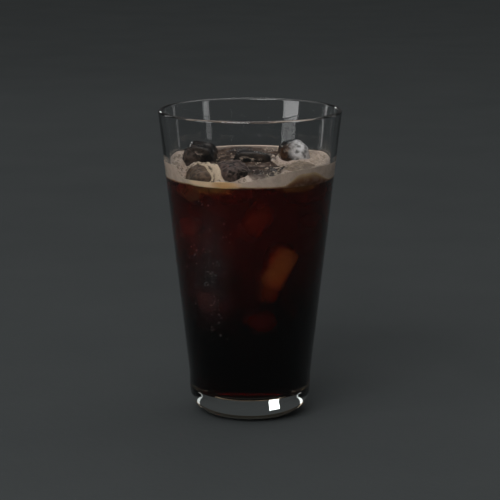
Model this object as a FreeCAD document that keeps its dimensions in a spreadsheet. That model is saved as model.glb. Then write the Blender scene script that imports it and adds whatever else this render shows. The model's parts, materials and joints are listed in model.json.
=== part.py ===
"""A conical tumbler of iced espresso: the glass, the coffee, its crema and the ice afloat in it.

Millimetres. +Z is up, the origin is on the glass's axis in the plane it stands on, and the side
shown to the drinker is -Y. Every size is a cell of the sheet, and the features are bound to it.
"""

import FreeCAD
import Part
import Sketcher
import os
from FreeCAD import Vector

GLASS_SIZES = {
    "glass_height": 150.0,
    "rim_radius": 44.5,
    "rim_wall": 2.3,
    "rim_round": 1.05,
    "foot_radius": 29.25,  # where the heel's side would meet the table
    "band_radius": 29.9,
    "band_top": 21.0,  # the nearly upright band ends here, and the wall flares
    "heel_round": 13.0,
    "floor_height": 10.5,  # the solid glass under the drink
    "floor_radius": 26.0,
    "bowl_round": 11.0,
    "hollow_radius": 14.0,  # the shallow hollow under the foot
    "hollow_depth": 1.0,
    "hollow_slope": 3.5,
    "hollow_blend": 3.0,
}

DRINK_SIZES = {
    "headroom": 26.0,  # from the rim down to the level top of the crema
    "crema_depth": 6.5,
    "collar_rise": 1.8,  # how far the crema climbs the wall
    "collar_reach": 4.0,
    "collar_blend": 5.0,
    "drink_gap": 0.3,  # between the drink and the glass's wall
}

ICE_SIZES = {
    "ice_bore": 39.0,  # the bore that the pieces of ice below were sized for
    "ice_round": 4.2,  # the melted edges
    "ice_gap": 0.3,  # between the ice and the drink round it
}

# One row for each piece of ice. length runs round the wall, depth towards it, and height upwards.
# narrow is how much less of a side the upper face has on each edge, and lean how far that face is
# pushed inwards. bearing is counted from +X towards +Y, out is how far the centre lies from the
# axis, and sink how far it lies below the crema's top. turn, nod and roll tilt the piece. The
# lengths, depths, heights, distances out and the melted edges are those for a bore of ice_bore at
# the crema's top, and follow the bore that the glass really has, so that the ice always fits in.
ICE_COLUMNS = (
    "length", "depth", "height", "narrow", "lean", "bearing", "out", "sink", "turn", "nod", "roll",
)
ICE = {
    "ice_left": (16.5, 16.5, 21.0, 0.8, 0.8, 166.0, 26.4, 3.6, 2.0, 9.0, -8.0),
    "ice_right": (15.5, 16.5, 22.0, 1.6, 1.2, 24.0, 25.0, 3.6, -14.0, 8.0, 7.0),
    "ice_middle": (20.0, 18.0, 17.0, 1.2, -0.6, 78.0, 4.4, 5.0, 4.0, -6.0, 6.0),
    "ice_front": (16.0, 21.0, 17.0, 1.0, 0.6, 250.0, 21.8, 6.0, 35.0, -7.0, 3.0),
    "ice_front_left": (16.0, 9.6, 17.0, 0.6, 0.4, 219.5, 29.8, 6.2, -25.0, 9.0, -8.0),
    "ice_front_right": (20.0, 15.0, 17.0, 1.4, 0.8, 327.0, 28.4, 7.4, 4.0, -4.0, 6.0),
}

CREMA_TOP = "(sizes.glass_height - sizes.headroom)"
COFFEE_TOP = f"({CREMA_TOP} - sizes.crema_depth)"
COLLAR_TOP = f"({CREMA_TOP} + sizes.collar_rise)"
AXIS = None  # a corner that lies on the axis
TABLE = None  # a corner that lies in the plane of the table
RING_TOLERANCE = 1e-4


def make_sheet(doc):
    """The driving sizes, one row each: a name, and a value whose alias is that name."""
    values = {**GLASS_SIZES, **DRINK_SIZES, **ICE_SIZES}
    for piece, row in ICE.items():
        values.update({f"{piece}_{column}": value for column, value in zip(ICE_COLUMNS, row)})
    sheet = doc.addObject("Spreadsheet::Sheet", "sizes")
    for line, (name, value) in enumerate(values.items(), start=1):
        sheet.set(f"A{line}", name)
        sheet.set(f"B{line}", str(value))
        sheet.setAlias(f"B{line}", name)
    doc.recompute()
    return sheet


def bore_radius(height):
    """The bore's radius at a height: a straight line from the floor's corner to the rim's."""
    at_rim = "(sizes.rim_radius - sizes.rim_wall)"
    share = f"({height} - sizes.floor_height) / (sizes.glass_height - sizes.floor_height)"
    return f"(sizes.floor_radius + ({at_rim} - sizes.floor_radius) * {share})"


def drink_radius(height):
    return f"({bore_radius(height)} - sizes.drink_gap)"


def value_of(sheet, expression):
    """What an expression comes to now, in plain millimetres or degrees."""
    if expression is None:
        return 0.0
    answer = sheet.evalExpression(expression)
    return float(getattr(answer, "Value", answer))


def bind_coordinate(sketch, corner, kind, axis_line, expression, value):
    """Hold one coordinate of a corner to an expression, or to an axis of the sketch."""
    if expression is None:
        sketch.addConstraint(Sketcher.Constraint("PointOnObject", corner, 1, axis_line))
        return
    row = sketch.addConstraint(Sketcher.Constraint(kind, corner, 1, value))
    sketch.setExpression(f"Constraints[{row}]", expression)


def polygon_sketch(body, name, plane, corners):
    """A closed outline on one of the body's origin planes, its corners given as expressions."""
    sheet = body.Document.getObject("sizes")
    sketch = body.newObject("Sketcher::SketchObject", name)
    origin_plane = next(item for item in body.Origin.OriginFeatures if item.Role == plane)
    sketch.AttachmentSupport = [(origin_plane, "")]
    sketch.MapMode = "FlatFace"
    points = [Vector(value_of(sheet, across), value_of(sheet, up), 0) for across, up in corners]
    following = points[1:] + points[:1]
    for start, end in zip(points, following):
        sketch.addGeometry(Part.LineSegment(start, end), False)
    count = len(corners)
    for corner in range(count):
        sketch.addConstraint(Sketcher.Constraint("Coincident", corner, 2, (corner + 1) % count, 1))
    for corner, (across, up) in enumerate(corners):
        bind_coordinate(sketch, corner, "DistanceX", -2, across, points[corner].x)
        bind_coordinate(sketch, corner, "DistanceY", -1, up, points[corner].y)
    return sketch


def ring_edges(feature, radius, height):
    """The names of the feature's round edges of this radius, at this height about the axis."""
    found = []
    for number, edge in enumerate(feature.Shape.Edges, start=1):
        if not isinstance(edge.Curve, Part.Circle):
            continue
        off_radius = abs(edge.Curve.Radius - radius)
        off_height = abs(edge.Curve.Center.z - height)
        if off_radius < RING_TOLERANCE and off_height < RING_TOLERANCE:
            found.append(f"Edge{number}")
    if not found:
        raise RuntimeError(f"{feature.Name} has no round edge at {radius:.2f}, {height:.2f}")
    return found


def turned_body(doc, name, corners, blends):
    """A body turned about Z from a section. blends are (corner numbers, radius expression)."""
    body = doc.addObject("PartDesign::Body", name)
    section = polygon_sketch(body, f"{name}_section", "XZ_Plane", corners)
    turned = body.newObject("PartDesign::Revolution", f"{name}_turned")
    turned.Profile = section
    turned.ReferenceAxis = (section, ["V_Axis"])
    turned.Angle = 360.0
    doc.recompute()
    feature = turned
    sheet = doc.getObject("sizes")
    for order, (numbers, radius) in enumerate(blends, start=1):
        places = [[value_of(sheet, size) for size in corners[number]] for number in numbers]
        edges = [edge for place in places for edge in ring_edges(feature, *place)]
        blend = body.newObject("PartDesign::Fillet", f"{name}_blend_{order}")
        blend.Base = (feature, edges)
        blend.setExpression("Radius", radius)
        doc.recompute()
        feature = blend
    return body


def make_glass(doc):
    """A heavy-footed tumbler: outline from the hollow's middle, round the outside, to the floor."""
    bore_at_rim = "sizes.rim_radius - sizes.rim_wall"
    corners = [
        (AXIS, "sizes.hollow_depth"),
        ("sizes.hollow_radius - sizes.hollow_slope", "sizes.hollow_depth"),
        ("sizes.hollow_radius", TABLE),
        ("sizes.foot_radius", TABLE),
        ("sizes.band_radius", "sizes.band_top"),
        ("sizes.rim_radius", "sizes.glass_height"),
        (bore_at_rim, "sizes.glass_height"),
        ("sizes.floor_radius", "sizes.floor_height"),
        (AXIS, "sizes.floor_height"),
    ]
    blends = [
        ((1, 2), "sizes.hollow_blend"),
        ((3,), "sizes.heel_round"),
        ((5, 6), "sizes.rim_round"),
        ((7,), "sizes.bowl_round"),
    ]
    return turned_body(doc, "glass", corners, blends)


def make_coffee_fill(doc):
    """The coffee before the ice is let in: it stands on the floor and keeps off the wall."""
    corners = [
        (AXIS, "sizes.floor_height"),
        ("sizes.floor_radius - sizes.drink_gap", "sizes.floor_height"),
        (drink_radius(COFFEE_TOP), COFFEE_TOP),
        (AXIS, COFFEE_TOP),
    ]
    return turned_body(doc, "coffee_fill", corners, [((1,), "sizes.bowl_round")])


def make_crema_fill(doc):
    """The foam on the coffee, level in the middle and drawn up to a collar at the wall."""
    corners = [
        (AXIS, COFFEE_TOP),
        (drink_radius(COFFEE_TOP), COFFEE_TOP),
        (drink_radius(COLLAR_TOP), COLLAR_TOP),
        (f"{drink_radius(COLLAR_TOP)} - sizes.collar_reach", CREMA_TOP),
        (AXIS, CREMA_TOP),
    ]
    return turned_body(doc, "crema_fill", corners, [((3,), "sizes.collar_blend")])


def make_ice(doc, piece, name, grow):
    """One melted block, or the room it takes in the drink where grow is the gap round it.

    The block's own Y runs up it, and its own Z points away from the wall.
    """
    fit = f"{bore_radius(CREMA_TOP)} / sizes.ice_bore"
    half_length = f"(sizes.{piece}_length / 2 * {fit} + {grow})"
    half_height = f"(sizes.{piece}_height / 2 * {fit} + {grow})"
    half_depth = f"(sizes.{piece}_depth / 2 * {fit} + {grow})"
    narrow = f"sizes.{piece}_narrow"
    lean = f"sizes.{piece}_lean"
    spans = {
        "Xmin": f"-{half_length}",
        "Xmax": half_length,
        "Ymin": f"-{half_height}",
        "Ymax": half_height,
        "Zmin": f"-{half_depth}",
        "Zmax": half_depth,
        "X2min": f"-{half_length} + {narrow}",
        "X2max": f"{half_length} - {narrow}",
        "Z2min": f"-{half_depth} + {narrow} + {lean}",
        "Z2max": f"{half_depth} - {narrow} + {lean}",
    }
    body = doc.addObject("PartDesign::Body", name)
    block = body.newObject("PartDesign::AdditiveWedge", f"{name}_block")
    for side, size in spans.items():
        block.setExpression(side, size)
    doc.recompute()
    melted = body.newObject("PartDesign::Fillet", f"{name}_melted")
    melted.Base = (block, [f"Edge{number + 1}" for number in range(len(block.Shape.Edges))])
    melted.setExpression("Radius", f"sizes.ice_round * {fit} + {grow}")
    bearing = f"sizes.{piece}_bearing"
    out = f"sizes.{piece}_out * {fit}"
    height = f"{CREMA_TOP} - sizes.{piece}_sink"
    centre = f"vector({out} * cos({bearing}); {out} * sin({bearing}); {height})"
    yaw = f"{bearing} + sizes.{piece}_turn - 90"
    roll = f"sizes.{piece}_nod + 90"
    body.setExpression("Placement", f"placement({centre}; rotation({yaw}; sizes.{piece}_roll; {roll}))")
    doc.recompute()
    return body


def cut_round_ice(doc, name, fill, rooms):
    """A layer of the drink with the room of every piece of ice taken out of it."""
    all_rooms = doc.getObject("ice_rooms")
    if all_rooms is None:
        all_rooms = doc.addObject("Part::MultiFuse", "ice_rooms")
        all_rooms.Shapes = rooms
    layer = doc.addObject("Part::Cut", name)
    layer.Base = fill
    layer.Tool = all_rooms
    doc.recompute()
    return layer


def check(doc, nodes):
    """Stop if a feature failed to build, or if a node isn't one good solid."""
    for item in doc.Objects:
        if "Invalid" in item.State or "Error" in item.State:
            raise RuntimeError(f"{item.Name} did not build: {item.State}")
    for node in nodes:
        if node.Shape.isNull() or not node.Shape.isValid():
            raise RuntimeError(f"{node.Label} has no valid shape")
        if len(node.Shape.Solids) != 1:
            raise RuntimeError(f"{node.Label} has {len(node.Shape.Solids)} solids instead of one")


def main():
    doc = FreeCAD.newDocument("iced_espresso")
    make_sheet(doc)
    glass = make_glass(doc)
    ice = [make_ice(doc, piece, piece, "0") for piece in ICE]
    rooms = [make_ice(doc, piece, f"{piece}_room", "sizes.ice_gap") for piece in ICE]
    coffee = cut_round_ice(doc, "coffee", make_coffee_fill(doc), rooms)
    crema = cut_round_ice(doc, "crema", make_crema_fill(doc), rooms)
    nodes = [glass, coffee, crema, *ice]
    for node in nodes:
        node.Label = node.Name
    check(doc, nodes)
    os.makedirs("parts", exist_ok=True)
    for node in nodes:
        node.Shape.exportStep(f"parts/{node.Label}.step")
        box = node.Shape.optimalBoundingBox(False)
        print(f"{node.Label:16s} volume {node.Shape.Volume / 1000:8.2f} cm3   z {box.ZMin:7.2f} to {box.ZMax:7.2f}")


main()
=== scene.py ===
# %% [markdown]
# # A tumbler of iced espresso
#
# The finished drink is a heavy-footed conical glass of near-black coffee. A layer of tan foam, the
# crema, lies on the coffee, and melted blocks of ice float up through it. More ice is sunk below.
# The construction model gives every piece its place and its room. This lesson gives each piece its
# real surface: turned glass, liquid that takes the light away with depth, foam, and cloudy ice.

# %% Load the frame
import json
import math
import random

import bpy
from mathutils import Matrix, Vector
from mathutils.bvhtree import BVHTree
from mathutils.kdtree import KDTree

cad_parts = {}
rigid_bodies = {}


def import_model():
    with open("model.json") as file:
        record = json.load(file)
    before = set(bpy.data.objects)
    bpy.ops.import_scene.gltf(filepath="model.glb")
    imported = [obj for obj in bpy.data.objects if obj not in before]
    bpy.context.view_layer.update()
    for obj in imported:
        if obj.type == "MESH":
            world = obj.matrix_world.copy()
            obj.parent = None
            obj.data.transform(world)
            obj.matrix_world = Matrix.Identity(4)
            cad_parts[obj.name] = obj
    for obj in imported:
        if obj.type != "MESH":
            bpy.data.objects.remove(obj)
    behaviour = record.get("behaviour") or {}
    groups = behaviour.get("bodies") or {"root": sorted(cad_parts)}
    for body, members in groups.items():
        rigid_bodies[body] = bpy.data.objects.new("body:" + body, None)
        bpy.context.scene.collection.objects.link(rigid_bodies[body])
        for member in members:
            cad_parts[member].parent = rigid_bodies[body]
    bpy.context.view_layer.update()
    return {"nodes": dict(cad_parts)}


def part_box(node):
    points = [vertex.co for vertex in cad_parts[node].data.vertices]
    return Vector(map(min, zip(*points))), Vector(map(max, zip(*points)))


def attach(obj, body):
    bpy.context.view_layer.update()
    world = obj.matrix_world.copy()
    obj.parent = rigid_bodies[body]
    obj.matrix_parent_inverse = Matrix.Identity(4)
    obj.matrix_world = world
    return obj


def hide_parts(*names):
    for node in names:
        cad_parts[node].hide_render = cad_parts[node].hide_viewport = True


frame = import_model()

MM = 0.001
glass_low, glass_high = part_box("glass")
coffee_low, coffee_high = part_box("coffee")
crema_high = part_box("crema")[1]
ICE_NODES = sorted(node for node in frame["nodes"] if node.startswith("ice_"))
print("ice afloat:", ", ".join(ICE_NODES))
print(f"the glass is {(glass_high[2] - glass_low[2]) / MM:.1f} mm high")

# %% [markdown]
# The camera comes first, because it decides what has to be good. It stands about a metre away and
# looks down a little, as over a table, through a long lens. So the far side of the rim, the top of
# the ice and the foam's front edge at the wall all show, and they need the most care.

# %% Camera
CAMERA_DISTANCE = 0.9944
CAMERA_HEIGHT = 0.2812
CAMERA_DIP = 0.199  # radians below the level
CAMERA_LENS = 149.5


def new_object(name, data):
    """An object in the scene that shows these data."""
    made = bpy.data.objects.new(name, data)
    bpy.context.scene.collection.objects.link(made)
    return made


camera_data = bpy.data.cameras.new("camera")
camera_data.lens = CAMERA_LENS
camera_data.sensor_width = 36.0
camera = new_object("camera", camera_data)
camera.location = (0.0, -CAMERA_DISTANCE, CAMERA_HEIGHT)
camera.rotation_euler = (math.pi / 2 - CAMERA_DIP, 0.0, 0.0)
bpy.context.scene.camera = camera
bpy.context.scene.view_settings.view_transform = "Standard"
print("the camera looks down by", round(math.degrees(CAMERA_DIP), 1), "degrees")

# %% [markdown]
# Shader maths soon turns into a tangle of boxes. One small class keeps it readable: it wraps a
# socket of a node tree, and sums written on it add the Math nodes. Its method node makes any other
# kind of node, and the last four make those that are used most.

# %% The class that writes shader maths
class Wire:
    """A socket of a node tree, on which shader maths is written as plain sums."""

    def __init__(self, tree, socket=None):
        self.tree = tree
        self.socket = socket

    def feed(self, target, value):
        """Link a wire to a socket, or set the socket to a plain value."""
        if isinstance(value, Wire):
            self.tree.links.new(value.socket, target)
        elif target.type == "RGBA" and len(value) == 3:
            target.default_value = (*value, 1.0)
        else:
            target.default_value = value

    def node(self, kind, settings=None, inputs=None, output=0, stops=()):
        """Any node: its settings and a ramp's stops first, then the values of its sockets."""
        made = self.tree.nodes.new(kind)
        for name, value in (settings or {}).items():
            setattr(made, name, value)
        for index, (place, colour) in enumerate(stops):
            elements = made.color_ramp.elements
            stop = elements[index] if index < 2 else elements.new(place)
            stop.position = place
            stop.color = (*colour, 1.0)
        for name, value in (inputs or {}).items():
            self.feed(made.inputs[name], value)
        return Wire(self.tree, made.outputs[output])

    def math(self, operation, *others):
        inputs = dict(enumerate((self, *others)))
        return self.node("ShaderNodeMath", {"operation": operation}, inputs)

    def __add__(self, other):
        return self.math("ADD", other)

    __radd__ = __add__

    def __sub__(self, other):
        return self.math("SUBTRACT", other)

    def __rsub__(self, other):
        return self.node("ShaderNodeMath", {"operation": "SUBTRACT"}, {0: other, 1: self})

    def __mul__(self, other):
        return self.math("MULTIPLY", other)

    __rmul__ = __mul__

    def smooth(self, low, high):
        """0 below low, 1 above high, and an easy slope between."""
        inputs = {"Value": self, "From Min": low, "From Max": high}
        return self.node("ShaderNodeMapRange", {"interpolation_type": "SMOOTHSTEP"}, inputs)

    def noise(self, size, detail=2.0):
        """Soft cloudy values from 0 to 1, whose clouds are about this size in metres."""
        inputs = {"Vector": self, "Scale": 1.0 / size, "Detail": detail}
        return self.node("ShaderNodeTexNoise", None, inputs)

    def cells(self, size):
        """Distances to scattered points about this far apart, as in a sheet of bubbles."""
        return self.node("ShaderNodeTexVoronoi", None, {"Vector": self, "Scale": 1.0 / size})

    def tint(self, low, high):
        """A colour that goes from low to high as this wire goes from 0 to 1."""
        inputs = {0: self, 6: low, 7: high}
        return self.node("ShaderNodeMix", {"data_type": "RGBA"}, inputs, output=2)


def set_plain(shader, plain):
    """Set a shader's sockets, named with _ for each space, to plain values."""
    for socket, value in plain.items():
        shader.inputs[socket.replace("_", " ")].default_value = value
    return shader


def new_material(name, **plain):
    """A Principled material with these plain values; its object coordinates come with it."""
    material = bpy.data.materials.new(name)
    material.use_nodes = True
    shader = set_plain(material.node_tree.nodes["Principled BSDF"], plain)
    place = Wire(material.node_tree).node("ShaderNodeTexCoord", output="Object")
    return material, shader, place


def second_shader(material, **plain):
    """One more Principled shader in a material."""
    return set_plain(material.node_tree.nodes.new("ShaderNodeBsdfPrincipled"), plain)


def parts_of(place):
    """The X, Y and Z wires of a vector wire."""
    return [place.node("ShaderNodeSeparateXYZ", None, {0: place}, output=axis) for axis in "XYZ"]


def set_bump(shader, height, distance, strength=1.0):
    """Roughen a shader's normals by a height wire; distance is what a height of 1 means."""
    inputs = {"Height": height, "Distance": distance, "Strength": strength}
    height.feed(shader.inputs["Normal"], height.node("ShaderNodeBump", None, inputs))


print("shader maths is ready")

# %% [markdown]
# Glass and black coffee are mirrors of the room, so the room decides how they look. A pale room
# would lay a grey veil on the coffee and turn the glass's edges dark. So the wide floor is painted
# a dark matt grey, and the world is dark near the horizon and pale overhead, like a room with a
# bright ceiling.

# %% Floor and world
FLOOR_SIZE = 14.0
PAINT = ((0.036, 0.04, 0.041), (0.044, 0.048, 0.049))  # the darkest and the palest of it
HORIZON = (0.055, 0.056, 0.057)
CEILING = (0.85, 0.84, 0.83)

paint, paint_shader, paint_place = new_material(
    "floor_paint", Roughness=0.9, Specular_IOR_Level=0.0)
paint_place.feed(paint_shader.inputs["Base Color"], paint_place.noise(0.09, 4.0).tint(*PAINT))
set_bump(paint_shader, paint_place.noise(0.004, 5.0), 0.0002)

bpy.ops.object.select_all(action="DESELECT")
bpy.ops.mesh.primitive_plane_add(size=FLOOR_SIZE, location=(0.0, 0.0, 0.0))
floor = bpy.context.object
floor.name = "floor"
floor.data.materials.append(paint)

world = bpy.data.worlds.new("studio")
world.use_nodes = True
bpy.context.scene.world = world
direction = Wire(world.node_tree).node("ShaderNodeTexCoord", output="Generated")
overhead = parts_of(direction)[2].smooth(0.35, 0.9)
direction.feed(world.node_tree.nodes["Background"].inputs["Color"], overhead.tint(HORIZON, CEILING))
print(f"the floor is {FLOOR_SIZE:.0f} m wide")

# %% [markdown]
# A large soft lamp in front lights the drink, and a weaker one overhead lights the foam. The others
# are seen rather than felt: the window lamp and the narrow lamps at the sides draw the glass as
# upright bands, and a small one behind is seen as a bright patch in the thick foot.

# %% Lamps
LAMP_TARGET = (0.0, 0.0, 0.08)


def add_lamp(name, place, size, power):
    """A rectangular lamp at a place, aimed at the drink."""
    data = bpy.data.lights.new(name, "AREA")
    data.shape = "RECTANGLE"
    data.size, data.size_y = size
    data.energy = power
    lamp = new_object(name, data)
    lamp.location = place
    lamp.rotation_euler = (Vector(LAMP_TARGET) - Vector(place)).to_track_quat("-Z", "Y").to_euler()


LAMPS = {  # place, width and height in metres, and power in watts
    "top_lamp": ((0.3, 0.9, 1.8), (1.6, 1.2), 4.5),
    "front_lamp": ((-0.6, -1.6, 1.4), (1.2, 1.0), 29.0),
    "window_lamp": ((-1.15, -0.7, 0.42), (0.56, 0.9), 5.2),
    "right_lamp": ((1.2, -0.62, 0.45), (0.2, 1.0), 1.2),
    "far_lamp": ((-1.0, 0.8, 0.35), (0.12, 0.9), 0.7),
    "left_lamp": ((1.0, 0.8, 0.35), (0.12, 0.9), 0.35),
    "back_lamp": ((-0.42, 1.3, 0.45), (0.2, 0.14), 0.35),
}
for name, (place, size, power) in LAMPS.items():
    add_lamp(name, place, size, power)
print("lamps:", len(LAMPS))

# %% [markdown]
# Glass of this kind is pressed and turned, so its whole form is one outline carried round an axis.
# The outline is drawn as corners, each with the radius that rounds it off. A single point is drawn
# out along it, and the line is then spun once round. That gives a closed shell of even faces,
# which bends light cleanly.

# %% Sizes of the glass, in millimetres
GLASS_HEIGHT = glass_high[2] / MM
RIM_RADIUS = 44.5
RIM_WALL = 2.3
RIM_ROUND = 1.1
FOOT_RADIUS = 29.25
BAND_RADIUS = 29.9
BAND_TOP = 21.0
BAND_BLEND = 60.0
HEEL_ROUND = 13.0
FLOOR_HEIGHT = coffee_low[2] / MM
FLOOR_RADIUS = 26.0
BOWL_ROUND = 11.0
HOLLOW_RADIUS = 14.0
HOLLOW_DEPTH = 1.0
HOLLOW_SLOPE = 3.5
HOLLOW_BLEND = 3.0


def bore_radius(height):
    """The radius of the glass's inner wall at a height, in millimetres."""
    share = (height - FLOOR_HEIGHT) / (GLASS_HEIGHT - FLOOR_HEIGHT)
    return FLOOR_RADIUS + (RIM_RADIUS - RIM_WALL - FLOOR_RADIUS) * share


print(f"its bore is {2 * bore_radius(GLASS_HEIGHT):.1f} mm wide at the rim")

# %% Turned pieces
TURN_STEPS = 192
ARC_STEP = math.radians(6.0)
MERGE = 1e-6  # metres


def pick(piece):
    """Make a piece the one that operators work on."""
    bpy.ops.object.select_all(action="DESELECT")
    piece.select_set(True)
    bpy.context.view_layer.objects.active = piece


def edit_all():
    """Enter edit mode with everything selected."""
    bpy.ops.object.mode_set(mode="EDIT")
    bpy.ops.mesh.select_all(action="SELECT")


def rounded(corners):
    """The points of an outline whose corners (radius, height, rounding) are rounded off."""
    points = []
    for index, (across, up, rounding) in enumerate(corners):
        corner = Vector((across, up))
        if not rounding:
            points.append(corner)
            continue
        before = (Vector(corners[index - 1][:2]) - corner).normalized()
        after = (Vector(corners[index + 1][:2]) - corner).normalized()
        half = before.angle(after) / 2
        start = corner + before * rounding / math.tan(half)
        end = corner + after * rounding / math.tan(half)
        centre = corner + (before + after).normalized() * rounding / math.sin(half)
        steps = max(2, round((math.pi - 2 * half) / ARC_STEP))
        for step in range(steps + 1):
            chord = (start - centre).slerp(end - centre, step / steps) * rounding
            points.append(centre + chord)
    return points


def turned(name, outline, steps=TURN_STEPS):
    """A closed piece: one point drawn out along an outline in millimetres, and spun round Z."""
    bpy.ops.object.select_all(action="DESELECT")
    bpy.ops.mesh.primitive_plane_add(size=MM)
    piece = bpy.context.object
    piece.name = name
    bpy.ops.object.mode_set(mode="EDIT")
    bpy.ops.mesh.merge(type="CENTER")
    here = Vector((0.0, 0.0))
    for order, point in enumerate(outline):
        shift = (point - here) * MM
        move = {"value": (shift.x, 0.0, shift.y)}
        if order == 0:
            bpy.ops.transform.translate(**move)
        else:
            bpy.ops.mesh.extrude_vertices_move(TRANSFORM_OT_translate=move)
        here = point
    bpy.ops.mesh.select_all(action="SELECT")
    bpy.ops.mesh.spin(steps=steps, angle=2 * math.pi, center=(0, 0, 0), axis=(0, 0, 1))
    bpy.ops.mesh.select_all(action="SELECT")
    bpy.ops.mesh.remove_doubles(threshold=MERGE)
    bpy.ops.mesh.normals_make_consistent(inside=False)
    bpy.ops.object.mode_set(mode="OBJECT")
    bpy.ops.object.shade_smooth()
    print(f"{name}: {len(piece.data.polygons)} faces")
    return piece


print("a turned piece is spun in", TURN_STEPS, "steps")

# %% The glass
tumbler = turned("tumbler", rounded([
    (0.0, HOLLOW_DEPTH, 0),
    (HOLLOW_RADIUS - HOLLOW_SLOPE, HOLLOW_DEPTH, HOLLOW_BLEND),
    (HOLLOW_RADIUS, 0.0, HOLLOW_BLEND),
    (FOOT_RADIUS, 0.0, HEEL_ROUND),
    (BAND_RADIUS, BAND_TOP, BAND_BLEND),
    (RIM_RADIUS, GLASS_HEIGHT, RIM_ROUND),
    (RIM_RADIUS - RIM_WALL, GLASS_HEIGHT, RIM_ROUND),
    (FLOOR_RADIUS, FLOOR_HEIGHT, BOWL_ROUND),
    (0.0, FLOOR_HEIGHT, 0),
]))

# %% [markdown]
# Every finish is built from the same few moves: two shaders mixed by a mask, an inside that takes
# light away with depth, and soft ragged spots. They are written once here.

# %% Tools for finishes
def ease(value, low, high):
    """0 below low, 1 above high, and an easy slope between, on plain numbers."""
    share = max(0.0, min(1.0, (value - low) / (high - low)))
    return share * share * (3 - 2 * share)


def across_axis(place):
    """The distance from the axis, as a wire."""
    x, y, _ = parts_of(place)
    return (x * x + y * y).math("SQRT")


def mixed_surface(place, material, factor, first, second):
    """Show two shaders by a factor: the first where it is 0, the second where it is 1."""
    first, second = (Wire(place.tree, shader.outputs[0]) for shader in (first, second))
    mixed = place.node("ShaderNodeMixShader", None, {0: factor, 1: first, 2: second})
    place.feed(material.node_tree.nodes["Material Output"].inputs["Surface"], mixed)


def absorbing(place, material, colour, density):
    """Fill a material's inside with something clear that takes light away with depth."""
    inputs = {"Color": colour, "Density": density}
    volume = place.node("ShaderNodeVolumeAbsorption", None, inputs)
    place.feed(material.node_tree.nodes["Material Output"].inputs["Volume"], volume)


def spot(place, centre, reach, ragged, edge=0.35):
    """1 inside an ellipsoid round a centre, 0 outside, with a ragged edge; in millimetres."""
    inputs = {0: place, 1: Vector(centre) * MM}
    apart = place.node("ShaderNodeVectorMath", {"operation": "SUBTRACT"}, inputs)
    inputs = {0: apart, 1: Vector([1.0 / (side * MM) for side in reach])}
    apart = place.node("ShaderNodeVectorMath", {"operation": "MULTIPLY"}, inputs)
    length = place.node("ShaderNodeVectorMath", {"operation": "LENGTH"}, {0: apart}, output="Value")
    return 1 - (length + (ragged - 0.5) * 0.9).smooth(1.0 - edge, 1.0 + edge)


def most(first, *others):
    """The greatest of several wires."""
    for other in others:
        first = first.math("MAXIMUM", other)
    return first


def wear(piece, material):
    """Give a piece this finish alone."""
    piece.data.materials.clear()
    piece.data.materials.append(material)
    print(f"{piece.name} wears {material.name}")


print("the tools for finishes are ready")

# %% [markdown]
# Clear soda-lime glass bends light by 1.5 and takes a trace of red away, which shows only in the
# thick foot. Pressed glass is never quite true, so its surface waves a little, and hands and cold
# leave faint patches that are less than mirror smooth. Below the drink's level the inner wall is
# wet: light passes from glass to liquid there and bends far less. So the wet wall is a second
# shader, whose index is that of glass divided by that of the drink, and the liquid's own skin
# inside the wall bends nothing. That is why the coffee seems to fill the glass right to its edge.

# %% Glass finish
GLASS_INDEX = 1.5
DRINK_INDEX = 1.34
GLASS_TINT = (0.82, 0.93, 0.9)
GLASS_DENSITY = 12.0  # how fast the tint comes with depth, per metre
FOG_CENTRE = (-21.0, -33.0, 74.0)
FOG_REACH = (15.0, 16.0, 36.0)

clear_glass, glass_shader, glass_place = new_material(
    "clear_glass", Roughness=0.0, IOR=GLASS_INDEX, Transmission_Weight=1.0)
wet_shader = second_shader(
    clear_glass, Roughness=0.0, IOR=GLASS_INDEX / DRINK_INDEX, Transmission_Weight=1.0)
set_bump(glass_shader, glass_place.noise(0.035, 1.0), 0.0006, 0.25)
smears = glass_place.noise(0.022, 5.0)
fog = spot(glass_place, FOG_CENTRE, FOG_REACH, smears)
glass_place.feed(glass_shader.inputs["Roughness"], smears.smooth(0.5, 0.8) * 0.03 + fog * 0.22)
absorbing(glass_place, clear_glass, GLASS_TINT, GLASS_DENSITY)

# %% The wet part of the inner wall
WET_LINE = crema_high[2] / MM - 0.3
WET_FLOOR = 8.0
DIP_DEPTH = 5.6  # the foam hangs this much lower at the front, between these two slopes across X
DIP_LEFT = (-35.0, -31.0)
DIP_RIGHT = (-10.0, 26.0)

glass_across, glass_deep, glass_height = parts_of(glass_place)
widening = (bore_radius(GLASS_HEIGHT) - bore_radius(0.0)) / GLASS_HEIGHT
inner_side = glass_height * widening + (bore_radius(0.0) + RIM_WALL / 2) * MM
left_slope = glass_across.smooth(DIP_LEFT[0] * MM, DIP_LEFT[1] * MM)
right_slope = 1 - glass_across.smooth(DIP_RIGHT[0] * MM, DIP_RIGHT[1] * MM)
dry = left_slope * right_slope * glass_deep.math("LESS_THAN", 0.0)
wet = (across_axis(glass_place).math("LESS_THAN", inner_side)
       * (glass_height + dry * DIP_DEPTH * MM).math("LESS_THAN", WET_LINE * MM)
       * glass_height.math("GREATER_THAN", WET_FLOOR * MM))
mixed_surface(glass_place, clear_glass, wet, glass_shader, wet_shader)
wear(tumbler, clear_glass)
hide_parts("glass")
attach(tumbler, "root")

# %% [markdown]
# Ice that has stood in a drink has lost its corners and has shallow scallops melted into its faces.
# Each block starts as a copy of its own construction solid, so that it floats where it should. The
# copy is remade of small even faces, and two displacements wear it: a broad one for the scallops
# and a fine one for the wet, pitted skin.

# %% Tools that shape ice
SCALLOP_SIZE = 0.011  # metres, as are the voxels and the depths of scallops and pits
PIT_SIZE = 0.0022


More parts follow.
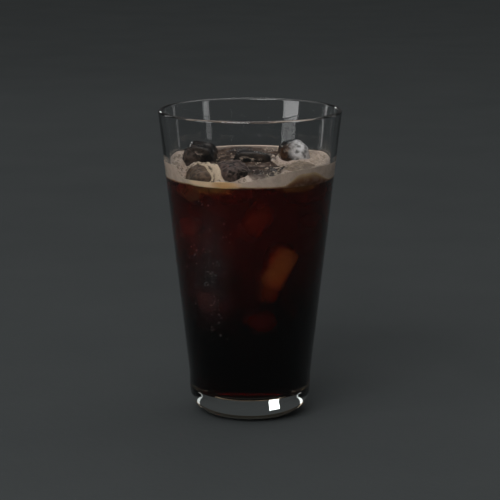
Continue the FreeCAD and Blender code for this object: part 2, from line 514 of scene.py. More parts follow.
def add_modifier(piece, kind, **settings):
    """Add a modifier, set it up and apply it."""
    pick(piece)
    modifier = piece.modifiers.new(kind.lower(), kind)
    for name, value in settings.items():
        setattr(modifier, name, value)
    bpy.ops.object.modifier_apply(modifier=modifier.name)


def relief(name, kind, size):
    """A texture that displacements read, with features of this size in metres."""
    texture = bpy.data.textures.new(name, kind)
    texture.noise_scale = size
    return texture


def copy_of_node(node, name):
    """A merged copy of a construction solid, as a mesh of its own."""
    source = next(thing for thing in bpy.data.objects if thing.name == node)
    piece = new_object(name, source.data.copy())
    piece.data.materials.clear()
    pick(piece)
    edit_all()
    bpy.ops.mesh.remove_doubles(threshold=MERGE)
    bpy.ops.object.mode_set(mode="OBJECT")
    return piece


scallops = relief("scallops", "CLOUDS", SCALLOP_SIZE)
pits = relief("pits", "CLOUDS", PIT_SIZE)


def wear_ice(piece, voxel, broad, fine, level):
    """Remake a block in even faces and melt scallops and pits into it; level 0.5 keeps its size."""
    add_modifier(piece, "REMESH", mode="VOXEL", voxel_size=voxel, use_smooth_shade=True)
    for texture, strength, middle in ((scallops, broad, level), (pits, fine, 0.5)):
        add_modifier(piece, "DISPLACE", texture=texture, texture_coords="LOCAL",
                     strength=strength, mid_level=middle)
    bpy.ops.object.shade_smooth()


def keep_inside(piece, clearance, middle=0.0, growth=0.0):
    """Pull in what is nearer to the glass than a clearance, which may grow below a middle."""
    for vertex in piece.data.vertices:
        reach, height = math.hypot(vertex.co.x, vertex.co.y), vertex.co.z / MM
        room = (bore_radius(height) - clearance - max(0.0, middle - height) * growth) * MM
        if reach > room:
            vertex.co.x, vertex.co.y = vertex.co.x * room / reach, vertex.co.y * room / reach


print("scallops are", SCALLOP_SIZE / MM, "mm wide and pits", PIT_SIZE / MM, "mm")

# %% Floating ice
ICE_VOXEL = 0.0006
SCALLOP_DEPTH = 0.0022
PIT_DEPTH = 0.00025
PIT_DEPTHS = {"ice_front": 0.0007, "ice_left": 0.0004}  # where they are deeper
RESIZE = {"ice_front_left": (1.2, 1.2, 0.88)}  # this block is broad and low
NUDGE = {"ice_front_left": 2.2, "ice_front": 0.8}  # mm that these two drift to the wall
ICE_CLEARANCE = 0.3  # mm

floating = {}
for node in ICE_NODES:
    block = copy_of_node(node, node.replace("ice", "block"))
    nudge = NUDGE.get(node, 0.0) * MM
    low, high = (Vector(corner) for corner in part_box(node))
    edit_all()
    centre = Vector((*((low + high) / 2).xy, low.z))
    bpy.ops.transform.resize(value=RESIZE.get(node, (1.0, 1.0, 1.0)), center_override=centre)
    outward = ((low + high) / 2 * Vector((1, 1, 0))).normalized()
    bpy.ops.transform.translate(value=outward * nudge)
    bpy.ops.object.mode_set(mode="OBJECT")
    wear_ice(block, ICE_VOXEL, SCALLOP_DEPTH, PIT_DEPTHS.get(node, PIT_DEPTH), 0.5)
    keep_inside(block, ICE_CLEARANCE)
    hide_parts(node)
    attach(block, "root")
    floating[node] = block
    print(f"{block.name}: {len(block.data.polygons)} faces")

# %% [markdown]
# More ice is sunk in the coffee, because the glass was filled with ice before the coffee. It
# floats as high as it can, so the blocks are stacked in the upper two thirds. Each is a cube,
# stretched and bevelled in edit mode, then worn more coarsely, since the coffee hides most of it.

# %% Sunken ice
# Bearing; film of coffee before the block, height, depth, width, length; lean. In degrees and mm.
SUNKEN = [
    (292.5, 1.0, 75.0, 15.0, 15.0, 30.0, -26.0),
    (275.0, 2.2, 101.5, 13.0, 12.0, 21.0, -36.0),
    (280.0, 3.2, 50.5, 14.0, 16.0, 15.0, 10.0),
    (230.0, 2.8, 60.0, 14.0, 17.0, 19.0, 8.0),
    (248.0, 3.4, 82.0, 13.0, 15.0, 17.0, 20.0),
    (212.0, 2.0, 92.0, 14.0, 16.0, 17.0, 0.0),
    (333.0, 2.6, 93.0, 14.0, 16.0, 17.0, 12.0),
    (331.0, 2.8, 58.0, 13.0, 15.0, 17.0, -15.0),
    (185.0, 2.0, 68.0, 13.0, 17.0, 18.0, 5.0),
    (12.0, 2.0, 74.0, 14.0, 17.0, 18.0, -8.0),
    (60.0, 2.0, 88.0, 15.0, 18.0, 18.0, 12.0),
    (110.0, 2.0, 76.0, 15.0, 18.0, 18.0, -10.0),
    (150.0, 2.0, 92.0, 15.0, 18.0, 18.0, 15.0),
    (70.0, 2.5, 54.0, 12.0, 16.0, 16.0, 5.0),
]
BEVEL_SHARE = 0.26
SUNKEN_VOXEL = 0.0012
SUNKEN_SCALLOP = 0.0016
SUNKEN_PIT = 0.0002
SUNKEN_LEVEL = 0.6  # more melts away than stands proud
FILM_GROWTH = 0.09  # the film of coffee gets thicker downwards
WALL_LEAN = math.atan((RIM_RADIUS - RIM_WALL - FLOOR_RADIUS) / (GLASS_HEIGHT - FLOOR_HEIGHT))


def sunken_block(number, bearing, film, height, depth, width, length, lean):
    """One cube of ice, stretched and rounded, that faces the wall through a film of coffee."""
    out = bore_radius(height) - film - depth / 2
    angle = math.radians(bearing)
    centre = Vector((out * math.cos(angle), out * math.sin(angle), height)) * MM
    bpy.ops.object.select_all(action="DESELECT")
    bpy.ops.mesh.primitive_cube_add(size=MM)
    block = bpy.context.object
    block.name = f"sunken_{number}"
    block.scale = (depth, width, length)
    bpy.ops.object.transform_apply(location=False, rotation=False, scale=True)
    edit_all()
    bpy.ops.mesh.bevel(offset=depth * BEVEL_SHARE * MM, segments=5, affect="EDGES")
    bpy.ops.object.mode_set(mode="OBJECT")
    block.rotation_euler = (math.radians(lean), WALL_LEAN, angle)
    block.location = centre
    bpy.ops.object.transform_apply(location=True, rotation=True, scale=True)
    wear_ice(block, SUNKEN_VOXEL, SUNKEN_SCALLOP, SUNKEN_PIT, SUNKEN_LEVEL)
    keep_inside(block, film, height, FILM_GROWTH)
    return block


sunken_blocks = [sunken_block(number, *row) for number, row in enumerate(SUNKEN)]
print("sunken blocks:", len(sunken_blocks))


def join(pieces, name):
    """Join pieces into one that keeps a mesh of its own."""
    bpy.ops.object.select_all(action="DESELECT")
    for piece in pieces:
        piece.select_set(True)
    bpy.context.view_layer.objects.active = pieces[0]
    bpy.ops.object.join()
    joined = bpy.context.object
    joined.name = name
    return joined


# %% [markdown]
# Where two clear things touch, light must never cross a film of air, which would shine like a
# mirror. The drink reaches just into the glass's wall, and the hollows that hold the ice are a hair
# smaller than the ice. The cutter for them is a copy of all the ice, shrunk by that hair.

# %% The cutter for the hollows round the ice
HAIR = 0.00012  # metres


def shrunk_copy(pieces, name):
    """All the pieces copied into one and shrunk by a hair all over."""
    copies = []
    for piece in pieces:
        copy = piece.copy()
        copy.data = piece.data.copy()
        bpy.context.scene.collection.objects.link(copy)
        copies.append(copy)
    cutter = join(copies, name)
    add_modifier(cutter, "DISPLACE", strength=-HAIR, mid_level=0.0)
    return cutter


cutter = shrunk_copy([*floating.values(), *sunken_blocks], "ice_cutter")
sunken_ice = join(sunken_blocks, "sunken_ice")
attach(sunken_ice, "root")
print("cutter faces:", len(cutter.data.polygons))
print("sunken ice faces:", len(sunken_ice.data.polygons))

# %% [markdown]
# The coffee is a turned piece that stands on the glass's floor, follows its bowl and wall a hair
# deep in the glass, and ends just inside the foam. The ice is then cut out of it. A cut leaves
# needles along its edges. So the faces are split into triangles before the needles are merged
# away, and no gap opens.

# %% The coffee
WALL_BITE = 0.05  # mm; how far the coffee reaches into the wall
FOAM_BITE = 0.1  # how far the foam does, so that it covers the edge of the coffee
COFFEE_TOP = coffee_high[2] / MM
COFFEE_OVERLAP = 0.6
SLIVER = 0.01  # what is shorter than this after a cut is merged away
SHARP = math.radians(50)  # an edge folded more than this stays sharp


def cut_out(piece, cutter):
    """Cut the shrunk ice out of a piece of the drink."""
    add_modifier(piece, "BOOLEAN", object=cutter, operation="DIFFERENCE", solver="EXACT")
    edit_all()
    bpy.ops.mesh.quads_convert_to_tris(quad_method="BEAUTY", ngon_method="BEAUTY")
    bpy.ops.mesh.remove_doubles(threshold=SLIVER * MM)
    bpy.ops.mesh.dissolve_degenerate(threshold=SLIVER * MM)
    bpy.ops.mesh.quads_convert_to_tris(quad_method="BEAUTY", ngon_method="BEAUTY")
    bpy.ops.object.mode_set(mode="OBJECT")
    bpy.ops.object.shade_smooth_by_angle(angle=SHARP)
    print(f"{piece.name}: {len(piece.data.polygons)} faces after cutting")


coffee = turned("coffee_body", rounded([
    (0.0, FLOOR_HEIGHT - WALL_BITE, 0),
    (FLOOR_RADIUS + WALL_BITE, FLOOR_HEIGHT - WALL_BITE, BOWL_ROUND),
    (bore_radius(COFFEE_TOP + COFFEE_OVERLAP) + WALL_BITE, COFFEE_TOP + COFFEE_OVERLAP, 0),
    (0.0, COFFEE_TOP + COFFEE_OVERLAP, 0),
]))
cut_out(coffee, cutter)

# %% [markdown]
# Espresso takes the light away fast: blue within a fraction of a millimetre, green in a few, red
# last. So a thin film in front of a piece of ice is amber, a thicker one is deep red, and the rest
# is black. Fine solids in it scatter a little light back, which gives the body its dark red-brown;
# that part is a second, plain shader mixed in. Its colour is painted light and shade: black deep
# down and red towards the foam, with brown glows painted just under the foam at the front, where
# light comes down through it.

# %% Coffee finish
ESPRESSO = (0.84, 0.5, 0.06)
ESPRESSO_DENSITY = 1400.0  # per metre
# Painted shade and light: the solids are black deep down and red towards the foam.
SOLIDS_SHADED_TO_LIT = ((0.018, 0.001, 0.001), (0.36, 0.01, 0.001))  # deep down, and near the foam
# Painted light: the brown that glows just under the foam, lit through it from above.
GLOW_UNDER_FOAM = (0.24, 0.1, 0.02)
SOLIDS_SHARE = 0.12
# Painted light: how much of that glow is mixed in.
GLOW_SHARE = 0.4  # added where brown hangs under the foam

coffee_liquid, liquid_shader, coffee_place = new_material(
    "coffee_liquid", Roughness=0.0, IOR=1.0, Transmission_Weight=1.0)
absorbing(coffee_place, coffee_liquid, ESPRESSO, ESPRESSO_DENSITY)
solids_shader = second_shader(coffee_liquid, Roughness=0.7, Specular_IOR_Level=0.0)
coffee_height = parts_of(coffee_place)[2]
drift = coffee_place.noise(0.016, 3.0)
# Painted shade and light: the solids darken with depth, from red near the foam to black.
solids_shaded_by_depth = (coffee_height + drift * 0.02).smooth(0.05, 0.12).tint(*SOLIDS_SHADED_TO_LIT)
# Painted light: brown glows just under the foam at the front left and right, lit through the foam.
under_foam = (coffee_height + drift * 0.004).smooth(0.1135, 0.1195)
brown = under_foam * most(
    spot(coffee_place, (-19.0, -33.0, 116.2), (11.0, 9.0, 2.6), drift),
    spot(coffee_place, (23.0, -30.0, 118.5), (12.0, 10.0, 4.4), drift))
coffee_place.feed(solids_shader.inputs["Base Color"], brown.tint(solids_shaded_by_depth, GLOW_UNDER_FOAM))
mixed_surface(coffee_place, coffee_liquid, SOLIDS_SHARE + brown * GLOW_SHARE,
              liquid_shader, solids_shader)
wear(coffee, coffee_liquid)
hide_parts("coffee")
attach(coffee, "root")

# %% [markdown]
# The crema is a wet foam. It lies level in the middle, is drawn up to a collar at the wall, and is
# lumpy from the ice that pushed through it. It is turned like the coffee, with many rings on its
# upper side.

# %% The crema
CREMA_TOP = 124.0
COLLAR_TOP = crema_high[2] / MM
COLLAR_REACH = 4.0
COLLAR_BLEND = 5.0
CREMA_BOTTOM = COFFEE_TOP + 0.1
CREMA_RINGS = 60
CREMA_STEPS = 256

collar_foot = bore_radius(COLLAR_TOP) - COLLAR_REACH
crema_side = rounded([
    (0.0, CREMA_BOTTOM, 0),
    (bore_radius(CREMA_BOTTOM) + FOAM_BITE, CREMA_BOTTOM, 0),
    (bore_radius(COLLAR_TOP) + FOAM_BITE, COLLAR_TOP, 0),
    (collar_foot, CREMA_TOP, COLLAR_BLEND),
    (0.0, CREMA_TOP, 0),
])
level = crema_side.pop()
last = crema_side[-1]
for ring in range(1, CREMA_RINGS):
    crema_side.append(last.lerp(level, ring / CREMA_RINGS))
crema_side.append(level)
crema = turned("crema_foam", crema_side, CREMA_STEPS)

# %% [markdown]
# Six displacements then shape the upper side alone. It sinks to a basin, hangs lower at the front
# wall, rises in a ridge between the blocks and climbs a little up each of them, and two textures
# heave and froth it. Each has a vertex group, whose weights come from a small function of place.

# %% Weights of the foam's upper side
WALL_EASE = 3.0  # the foam keeps its height within this distance of the wall
BASIN_EASE = 9.0  # and is at its lowest from this distance inwards
RIDGE = (  # the ends of its stretches in plan, with its share of the full height
    (-31.0, -9.0, 0.3), (-24.0, -7.0, 0.55), (-16.5, -21.0, 0.8), (-13.5, -33.0, 0.9),
    (-8.0, -37.5, 0.1))
RIDGE_WIDTH = 2.2
CLIMB_WIDTH = 1.6
DIP_REACH = (4.0, 13.0)
BACK_DIP = 0.25  # the share of the dip that there is at the back, and its two slopes
BACK_SLOPE = (12.0, 26.0)
BACK_REACH = (2.0, 6.0)


def near_segment(point, start, end):
    """A point's distance from a segment in plan, and how far along it the nearest place is."""
    along = end - start
    share = max(0.0, min(1.0, (point - start).dot(along) / along.dot(along)))
    return (point - start - along * share).length, share


def point_tree(blocks):
    """A tree that finds the nearest of all the points of some blocks."""
    points = [vertex.co for block in blocks for vertex in block.data.vertices]
    tree = KDTree(len(points))
    for order, point in enumerate(points):
        tree.insert(point, order)
    tree.balance()
    return tree


def off_wall(place):
    """How far inwards of the collar's outer edge a place is, in millimetres."""
    return bore_radius(COLLAR_TOP) - math.hypot(place.x, place.y) / MM


def from_wall(place, distance):
    """0 at the wall and 1 from this many millimetres inwards."""
    return max(0.0, min(1.0, off_wall(place) / distance))


def ridge_weight(place):
    """1 on the crest of the ridge of foam, and 0 a little away from it."""
    here, greatest = Vector((place.x, place.y)) / MM, 0.0
    for (x1, y1, high1), (x2, y2, high2) in zip(RIDGE, RIDGE[1:]):
        apart, share = near_segment(here, Vector((x1, y1)), Vector((x2, y2)))
        fade = math.exp(-((apart / RIDGE_WIDTH) ** 2))
        greatest = max(greatest, (high1 + (high2 - high1) * share) * fade)
    return greatest


def climb_weight(place):
    """1 where the foam meets ice, and 0 a little away from it."""
    apart = ice_points.find(place)[2] / MM
    return math.exp(-((apart / CLIMB_WIDTH) ** 2)) * from_wall(place, WALL_EASE)


def dip_weight(place):
    """1 where the foam hangs lowest at the front wall, 0 where it is level."""
    x, y, inwards = place.x / MM, place.y / MM, off_wall(place)
    if y > 0.0:
        return BACK_DIP * ease(y, *BACK_SLOPE) * (1 - ease(inwards, *BACK_REACH))
    return ease(x, *DIP_LEFT) * (1 - ease(x, *DIP_RIGHT)) * (1 - ease(inwards, *DIP_REACH))


ice_points = point_tree(floating.values())
upper_side = [vertex.index for vertex in crema.data.vertices
              if vertex.co.z / MM > CREMA_TOP - 0.1]
print("points of the foam's upper side:", len(upper_side))

# %% Shaping the foam
BASIN_DEPTH = 0.0018  # metres, like the four below
RIDGE_HEIGHT = 0.004
CLIMB_HEIGHT = 0.0013
HEAVE = 0.0018
FROTH = 0.001
THINNEST = 1.1  # mm; the foam is nowhere thinner than this before the ice is cut out


def weigh(name, weight_of):
    """A vertex group over the foam's upper side, whose weights a function gives."""
    group = crema.vertex_groups.new(name=name)
    for index in upper_side:
        group.add([index], weight_of(crema.data.vertices[index].co), "REPLACE")
    return name


heave = relief("heave", "CLOUDS", 0.011)
froth = relief("froth", "CLOUDS", 0.0026)
for name, weight_of, texture, strength, level in (
        ("basin", lambda place: from_wall(place, BASIN_EASE), None, -BASIN_DEPTH, 0.0),
        ("dip", dip_weight, None, -DIP_DEPTH * MM, 0.0),
        ("ridge", ridge_weight, None, RIDGE_HEIGHT, 0.0),
        ("climb", climb_weight, None, CLIMB_HEIGHT, 0.0),
        ("heave", lambda place: from_wall(place, WALL_EASE), heave, HEAVE, 0.5),
        ("froth", lambda place: from_wall(place, WALL_EASE / 2), froth, FROTH, 0.5)):
    add_modifier(crema, "DISPLACE", texture=texture, texture_coords="LOCAL", direction="Z",
                 strength=strength, mid_level=level, vertex_group=weigh(name, weight_of))
for index in upper_side:
    vertex = crema.data.vertices[index]
    vertex.co.z = max(vertex.co.z, (CREMA_BOTTOM + THINNEST) * MM)
keep_inside(crema, -FOAM_BITE)
cut_out(crema, cutter)

# %% [markdown]
# The foam's colour follows its form: pale on the crests, tan where foam lies, near black in the
# pools among the ice. So two weights are kept at every point of the foam, for its material to read.

# %% Marks on the foam
def mark(piece, name, weight_of):
    """Keep a weight at every point of a piece, for its material to read."""
    layer = piece.data.attributes.new(name, "FLOAT", "POINT")
    layer.data.foreach_set("value", [weight_of(vertex.co) for vertex in piece.data.vertices])


def foamy_weight(place):
    """1 where foam lies on top, and 0 over the dark pools among the ice."""
    x, y = place.x / MM, place.y / MM
    inwards = bore_radius(COLLAR_TOP) - math.hypot(x, y)
    sway = 3.5 * math.sin(y / 6.0 + 0.6) + 2.0 * math.sin(y / 2.6)
    left, right = 1 - ease(x + sway, -36.0, -20.0), ease(x + sway, 5.0, 24.0)
    front = 1 - ease(y + 2.0 * math.sin(x / 3.1), -34.0, -27.0)
    return max(left, right, front, 1 - ease(inwards, 0.2, 1.0), climb_weight(place) * 0.3)


def cream_weight(place):
    """1 on the pale crests: the ridge, and the lip of foam round the block at the front left."""
    apart = lip_points.find(place)[2] / MM
    return max(ridge_weight(place), 1 - ease(apart, 0.6, 1.9))


lip_points = point_tree([floating["ice_front_left"]])
mark(crema, "foamy_mark", foamy_weight)
mark(crema, "ridge_mark", cream_weight)
print("two marks are kept at", len(crema.data.vertices), "points")

# %% [markdown]
# Crema is a mass of tiny bubbles, tan, and greyer towards the right. Seen through the wall, its
# lower edge thins out into the coffee through orange and brown, partly painted light that glows
# down through the thin foam, and arches up over the block at the front right. At the back, its top
# and the rim of its collar are painted darker, as painted shade.

# %% The foam seen through the wall
FOAM_FOOT = 0.1176  # metres, like the other lengths here
FOAM_RISE = 0.0009  # how fast the foam thickens upwards
ARCH_CENTRE = 0.0265
ARCH_RISE = 0.0046  # how much slower it does so under the arch
# Partly foam thinning into coffee, partly painted light: orange and brown lit through thin foam.
THINNING_AND_GLOW_STOPS = (  # from the coffee up to the foam; the first two are the ends
    (0.0, (0.08, 0.024, 0.006)), (1.0, (0.66, 0.53, 0.43)), (0.2, (0.12, 0.038, 0.012)),
    (0.45, (0.23, 0.11, 0.05)), (0.68, (0.36, 0.22, 0.11)), (0.88, (0.62, 0.44, 0.25)))
STREAK_TONE = (0.38, 0.29, 0.235)
CREAM_TONE = (0.9, 0.68, 0.45)
GOLD_TONE = (0.75, 0.44, 0.2)
# Painted shade on the top of the collar at the back.
SHADED_BACK_RIM_TONE = (0.15, 0.125, 0.11)

foam, foam_shader, foam_place = new_material("foam", Specular_IOR_Level=0.12)
foam_across, foam_deep, foam_height = parts_of(foam_place)
patches = foam_place.noise(0.009, 4.0)
streaks = foam_place.noise(0.0028, 3.0)
arch = 1 - (foam_across - ARCH_CENTRE).math("ABSOLUTE").smooth(0.002, 0.0115)
arch = arch * (1 - foam_deep.smooth(-0.022, -0.01))
lower_edge = foam_height + (patches - 0.5) * 0.001 - (FOAM_FOOT + arch * 0.0008)
lower_edge = lower_edge.math("DIVIDE", FOAM_RISE + arch * ARCH_RISE)
side = lower_edge.node("ShaderNodeValToRGB", None, {0: lower_edge}, stops=THINNING_AND_GLOW_STOPS)
side = (streaks.smooth(0.35, 0.7) * 0.35).tint(side, STREAK_TONE)
cream = spot(foam_place, (-19.0, -33.5, 119.6), (15.0, 8.0, 2.2), patches)
side = cream.tint(side, CREAM_TONE)
gold = spot(foam_place, (-12.0, -37.0, 119.0), (5.5, 5.0, 2.0), patches, 0.6)
side = gold.tint(side, GOLD_TONE)
# Painted shade: the top of the collar at the back is darkened.
shaded_back_rim = foam_deep.smooth(0.012, 0.028) * foam_height.smooth(0.1243, 0.1253)
side = shaded_back_rim.tint(side, SHADED_BACK_RIM_TONE)
print("the foam starts at", FOAM_FOOT / MM, "mm")

# %% The foam on top
TAN = ((0.5, 0.395, 0.325), (0.74, 0.615, 0.515))
TAN_RIGHT = (0.32, 0.255, 0.215)
# Painted shade over the foam's top at the back.
SHADED_TAN_BACK = (0.17, 0.135, 0.11)
POOL = ((0.018, 0.009, 0.005), (0.1, 0.062, 0.042))
CREST_TONE = (0.72, 0.57, 0.41)
SIDE_LEAN = 0.116  # how fast the foam's side moves outwards with height

foamy, crest = (foam_place.node("ShaderNodeAttribute", {"attribute_name": name}, output="Fac")
                for name in ("foamy_mark", "ridge_mark"))
top = patches.smooth(0.3, 0.75).tint(*TAN)
top = (foam_across.smooth(0.0, 0.02) * 0.5).tint(top, TAN_RIGHT)
# Painted shade: the top darkens towards the back.
top = foam_deep.smooth(0.012, 0.028).tint(top, SHADED_TAN_BACK)
flecks = (streaks * 0.3 + patches * 0.7).smooth(0.5, 0.66) * 0.35
covered = foamy * 0.9 + (streaks - 0.5) * 0.5 + (patches - 0.5) * 1.1
covered = most(covered.smooth(0.25, 0.65), flecks)
top = covered.tint(patches.smooth(0.35, 0.65).tint(*POOL), top)
top = (crest + (streaks - 0.5) * 0.5).smooth(0.3, 0.7).tint(top, CREST_TONE)
side_reach = (foam_height - CREMA_TOP * MM) * SIDE_LEAN + (bore_radius(CREMA_TOP) - 0.4) * MM
on_side = across_axis(foam_place).math("GREATER_THAN", side_reach)
foam_place.feed(foam_shader.inputs["Base Color"], on_side.tint(top, side))
foam_place.feed(foam_shader.inputs["Roughness"], 0.15 + covered * 0.4)
fizz = foam_place.cells(0.0011) * 0.7 + foam_place.cells(0.0005) * 0.3
set_bump(foam_shader, fizz + streaks, 0.0003, 0.45)
wear(crema, foam)
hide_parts("crema")
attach(crema, "root")

# %% [markdown]
# Clear ice shows the dark coffee under it. Where it froze last it is cloudy, and where it rubbed
# and melted it is frosted. So one finish is a mixture: clear and slightly pitted, or white and
# matt, by a cloudy mask. Foam clings to each block round its waterline.

# %% Ice finish
ICE_INDEX = 1.31
ICE_TINT = (1.0, 0.78, 0.62, 1.0)  # of what its skin mirrors
WATERLINE = (0.1232, 0.1252)  # metres: foam clings below the first and is gone above the second
CLINGING = (0.11, 0.078, 0.055)


def ice_finish(name, stain, white, cover, frosts):
    """Ice from its pairs of stain and frost colours, its cover of frost, and its frosted places."""
    material, clear, place = new_material(
        name, Roughness=0.06, IOR=ICE_INDEX, Transmission_Weight=1.0,
        Specular_IOR_Level=0.13, Specular_Tint=ICE_TINT)
    frost = second_shader(material, Roughness=0.45, Specular_IOR_Level=0.2,
                          Coat_Weight=0.1, Coat_Roughness=0.1)
    cloud = place.noise(0.006, 4.0)
    fine = place.noise(0.0016, 3.0)
    grit = place.cells(0.0022)
    place.feed(clear.inputs["Base Color"], cloud.smooth(0.35, 0.65).tint(*stain))
    mask = (cloud * 0.6 + fine * 0.5).smooth(0.75 - cover * 0.5, 0.9 - cover * 0.5)
    mask = mask * (0.3 + cover * 0.6)
    for centre, reach, level in frosts:
        mask = most(mask, spot(place, centre, reach, cloud) * (level + (fine - 0.5) * 0.5))
    waterline = 1 - (parts_of(place)[2] + cloud * 0.004 + fine * 0.002).smooth(*WATERLINE)
    speckled = (fine * 0.5 + grit * 0.5).smooth(0.3, 0.62).tint(*white)
    place.feed(frost.inputs["Base Color"], (waterline * 0.6).tint(speckled, CLINGING))
    set_bump(clear, cloud + grit * 0.3, 0.0004, 0.4)
    set_bump(frost, fine + grit, 0.0005, 0.7)
    mask = most(mask, waterline * fine.smooth(0.4, 0.6) * 0.5).math("MINIMUM", 1.0)
    mixed_surface(place, material, mask, clear, frost)
    return material


DARK = ((0.02, 0.008, 0.004), (0.09, 0.05, 0.03))
BROWN = ((0.05, 0.02, 0.009), (0.2, 0.11, 0.065))  # ice that coffee has stained
ICE_LOOKS = {  # stain, frost colours, cover of frost, frosted places as centre, reach and whiteness
    "ice_left": (DARK, ((0.02, 0.011, 0.007), (0.085, 0.058, 0.045)), 0.2,
                 [((-33.0, -4.0, 124.5), (9.0, 10.0, 4.5), 0.9)]),
    "ice_right": (BROWN, ((0.13, 0.125, 0.122), (0.52, 0.51, 0.505)), 0.15,
                  [((29.5, 4.0, 131.0), (8.5, 14.0, 12.0), 1.0)]),
    "ice_middle": (DARK, ((0.04, 0.024, 0.015), (0.14, 0.1, 0.075)), 0.2,
                   [((-1.0, 14.0, 129.0), (10.0, 4.0, 2.5), 0.6)]),
    "ice_front": (BROWN, ((0.03, 0.017, 0.012), (0.17, 0.11, 0.092)), 0.7, []),
    "ice_front_left": (BROWN, ((0.045, 0.024, 0.012), (0.17, 0.105, 0.064)), 0.7,
                       [((-20.0, -26.0, 120.0), (9.0, 9.0, 5.0), 0.9)]),
    "ice_front_right": (BROWN, ((0.19, 0.14, 0.1), (0.31, 0.235, 0.17)), 0.9,
                        [((24.0, -16.0, 125.0), (13.0, 13.0, 6.0), 0.9)]),
}
for node, block in floating.items():
    wear(block, ice_finish(f"{node}_finish", *ICE_LOOKS[node]))

# %% [markdown]
# Sunken ice is wet all over, so its skin hardly bends light or mirrors anything. What shows through
# the coffee is the cloudy white heart of the blocks that lie near the wall.

# %% Finish of the sunken ice
DEEP_INDEX = 1.02  # between ice and a drink, where light hardly bends
HEART = ((0.78, 0.78, 0.78), (0.95, 0.95, 0.95))
CLOUDS = [  # the white hearts that show: centre, reach, whiteness
    ((14.0, -26.0, 80.0), (7.0, 9.0, 9.0), 1.0),
    ((11.5, -27.0, 73.5), (6.0, 9.0, 7.0), 1.0),
    ((9.5, -27.5, 66.5), (4.5, 9.0, 6.0), 0.45),
    ((3.5, -31.0, 101.0), (7.0, 8.0, 9.0), 0.5),
    ((5.5, -25.0, 51.5), (6.0, 8.0, 5.0), 0.6),
    ((-19.0, -20.0, 60.0), (9.0, 9.0, 7.0), 0.35),
    ((28.0, -17.0, 103.0), (8.0, 9.0, 8.0), 0.4),
    ((-28.0, -19.0, 100.0), (9.0, 9.0, 9.0), 0.4),
]
deep_ice, deep_shader, deep_place = new_material(
    "deep_ice", Roughness=0.1, IOR=DEEP_INDEX, Transmission_Weight=1.0)
cloudy_shader = second_shader(deep_ice, Roughness=0.8, Specular_IOR_Level=0.0)
deep_cloud = deep_place.noise(0.007, 3.0)
deep_place.feed(cloudy_shader.inputs["Base Color"], deep_cloud.tint(*HEART))
hearts = most(*[spot(deep_place, centre, reach, deep_cloud, 0.6) * level
                for centre, reach, level in CLOUDS])
set_bump(deep_shader, deep_place.noise(0.004, 3.0), 0.0006)
mixed_surface(deep_place, deep_ice, most(hearts, deep_cloud.smooth(0.55, 0.8) * 0.15),
              deep_shader, cloudy_shader)
wear(sunken_ice, deep_ice)

# %% [markdown]
# A cold glass gathers dew, and foam keeps some large bubbles. Both are hundreds of tiny domes, so
# one low dome is modelled, and its copies are joined in a single mesh each: laid on the outer wall
# where the dew is, and on top of the foam where the bubbles are.

# %% The dome
DOME_CUT = -0.25


def low_dome():
    """The points and faces of a small dome of radius 1, flat underneath."""
    bpy.ops.object.select_all(action="DESELECT")
    bpy.ops.mesh.primitive_ico_sphere_add(subdivisions=2, radius=1.0)
    dome = bpy.context.object
    edit_all()
    bpy.ops.mesh.bisect(plane_co=(0, 0, DOME_CUT), plane_no=(0, 0, 1),
                        use_fill=True, clear_inner=True)
    bpy.ops.object.mode_set(mode="OBJECT")
    points = [vertex.co.copy() for vertex in dome.data.vertices]
    faces = [tuple(face.vertices) for face in dome.data.polygons]
    bpy.data.objects.remove(dome, do_unlink=True)
    return points, faces


def scatter(name, spots, flatness):
    """One mesh of domes, each at a place, with an outward direction and a radius."""
    dome_points, dome_faces = low_dome()
    points, faces = [], []
    for place, outward, size in spots:
        turn = outward.to_track_quat("Z", "Y")
        first = len(points)
        for point in dome_points:
            points.append(place + turn @ Vector((*point.xy, point.z * flatness)) * size)
        faces.extend([tuple(first + index for index in face) for face in dome_faces])
    mesh = bpy.data.meshes.new(name)
    mesh.from_pydata(points, [], faces)
    piece = new_object(name, mesh)
    pick(piece)
    bpy.ops.object.shade_smooth()
    print(f"{name}: {len(spots)} domes, {len(mesh.polygons)} faces")
    return piece


# %% [markdown]
# Dew gathers where the glass is coldest, in a patch at the front left, densest in its middle. So
# the places of the drops are drawn from bell curves, and their sizes favour the small.

# %% Dew on the wall
DEW_COUNT = 1600
DEW_HEIGHT = (80.0, 15.0)  # the middle and the spread
DEW_BEARING = (237.0, 9.0)  # the same, in degrees
DEW_LOW, DEW_HIGH = 34.0, 112.0
DEW_SIZES = (0.13, 0.38, 0.45)  # the least, the greatest, and how much they vary
DEW_FLATNESS = 0.5
WALL_TILT = math.atan((RIM_RADIUS - BAND_RADIUS) / (GLASS_HEIGHT - BAND_TOP))

dice = random.Random(5)


def drop_size(least, greatest, variety):
    """A random radius in millimetres, more often small than great."""
    return min(greatest, least * math.exp(abs(dice.gauss(0.0, variety))))


def outer_radius(height):
    """The radius of the glass's outer wall at a height above its foot, in millimetres."""
    share = (height - BAND_TOP) / (GLASS_HEIGHT - BAND_TOP)
    return BAND_RADIUS + (RIM_RADIUS - BAND_RADIUS) * share


dew_spots = []
while len(dew_spots) < DEW_COUNT:
    height, bearing = dice.gauss(*DEW_HEIGHT), math.radians(dice.gauss(*DEW_BEARING))
    if not DEW_LOW < height < DEW_HIGH:
        continue
    size = drop_size(*DEW_SIZES)
    outward = Vector((math.cos(bearing), math.sin(bearing), -math.sin(WALL_TILT))).normalized()
    flat = Vector((math.cos(bearing), math.sin(bearing), 0.0)) * outer_radius(height) * MM
    dew_spots.append((flat + Vector((0.0, 0.0, height * MM)), outward, size * MM))
dew = scatter("dew", dew_spots, DEW_FLATNESS)
water, water_shader, water_place = new_material("dew_water", IOR=1.33, Transmission_Weight=1.0)
water_place.feed(water_shader.inputs["Roughness"],
                 water_place.noise(0.004).smooth(0.3, 0.7) * 0.3)
wear(dew, water)
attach(dew, "root")

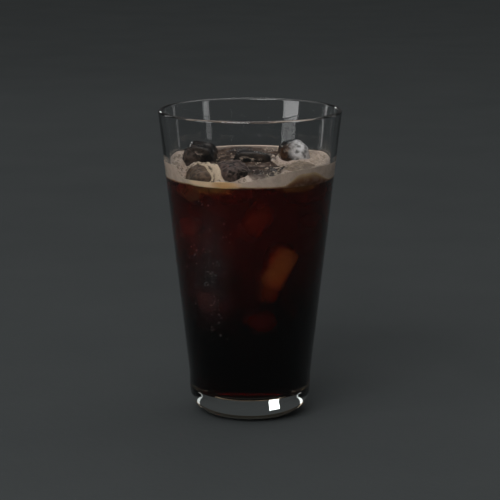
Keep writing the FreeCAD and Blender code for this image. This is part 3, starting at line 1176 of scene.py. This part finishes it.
# %% [markdown]
# Bubbles are dropped on the foam from above. Those that would land on ice or in a hollow are left
# out, and those over the dark pools nearly all are.

# %% Bubbles on the foam
BUBBLE_COUNT = 1100
BUBBLE_REACH = 38.0  # the farthest from the axis
BUBBLE_SIZES = (0.24, 1.0, 0.55)  # the least, the greatest, and how much they vary
BUBBLE_GAP = 0.2  # the least between a bubble and the ice
BUBBLE_FLOOR = 0.1185  # metres; lower down is a hollow by the ice
BUBBLE_FLATNESS = 0.7
STRAY_SHARE = 0.03  # of the bubbles over the pools
DROP_HEIGHT = 140.0

foam_surface = BVHTree.FromPolygons([v.co for v in crema.data.vertices],
                                    [tuple(face.vertices) for face in crema.data.polygons])
bubble_spots = []
while len(bubble_spots) < BUBBLE_COUNT:
    away, bearing = BUBBLE_REACH * math.sqrt(dice.random()), dice.uniform(0, 2 * math.pi)
    size = drop_size(*BUBBLE_SIZES)
    above = Vector((away * math.cos(bearing), away * math.sin(bearing), DROP_HEIGHT)) * MM
    hit, normal, _, _ = foam_surface.ray_cast(above, Vector((0, 0, -1)))
    if hit is None or hit.z < BUBBLE_FLOOR:
        continue
    if ice_points.find(hit)[2] < (size + BUBBLE_GAP) * MM:
        continue
    if dice.random() > STRAY_SHARE + foamy_weight(hit):
        continue
    bubble_spots.append((hit, normal, size * MM))
bubbles = scatter("foam_bubbles", bubble_spots, BUBBLE_FLATNESS)
skin, skin_shader, skin_place = new_material("bubble_skin", Specular_IOR_Level=0.5)
skin_tone = skin_place.noise(0.003, 2.0).tint((0.24, 0.18, 0.13), (0.5, 0.41, 0.32))
skin_place.feed(skin_shader.inputs["Base Color"], skin_tone)
skin_place.feed(skin_shader.inputs["Roughness"],
                skin_place.noise(0.002).smooth(0.3, 0.7) * 0.2 + 0.1)
wear(bubbles, skin)
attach(bubbles, "root")

# %% [markdown]
# The cutter has done its work and goes.

# %% Tidy up
bpy.data.objects.remove(cutter, do_unlink=True)
